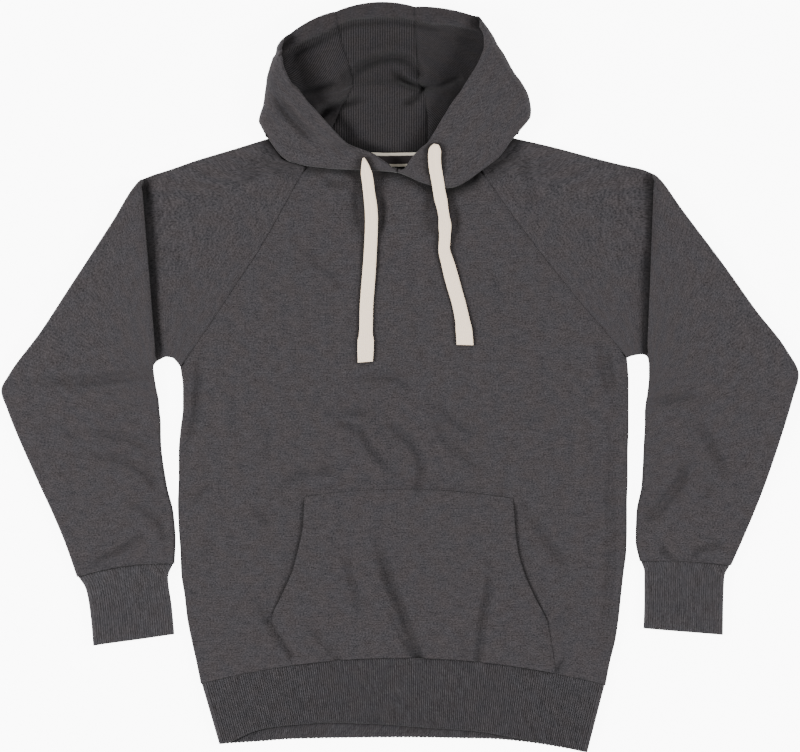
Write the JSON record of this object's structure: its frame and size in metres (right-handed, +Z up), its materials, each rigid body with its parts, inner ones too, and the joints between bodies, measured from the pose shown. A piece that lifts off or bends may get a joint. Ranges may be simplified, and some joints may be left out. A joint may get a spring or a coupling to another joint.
{
  "type": "pullover hoodie",
  "caption": "Charcoal pullover hoodie laid flat, with raglan sleeves, a kangaroo pocket, ribbed cuffs and hem, and flat cream drawcords.",
  "frame": {"origin": "centre of the bounding box, at the bottom, on the surface that the garment lies on", "axes": "+X across the chest from the sleeve on the viewer's left to the one on the right, +Y from the hem to the hood, +Z up out of the front"},
  "size_m": [0.956, 0.8996, 0.0327],
  "materials": {
    "jersey": "matt heather fleece jersey",
    "jersey_inside": "matt knit, reverse side",
    "rib": "matt rib knit",
    "tape": "matt twill tape",
    "cord": "matt woven cotton"
  },
  "bodies": {
    "root": {"front": "jersey", "back": "jersey", "pocket": "jersey", "sleeve_left": "jersey", "sleeve_right": "jersey", "hood_left": "jersey", "hood_right": "jersey", "hood_center": "jersey_inside", "neck_tape": "tape", "cuff_left": "rib", "cuff_right": "rib", "hem_band": "rib", "drawcord_left": "cord", "drawcord_right": "cord"}
  },
  "joints": []
}
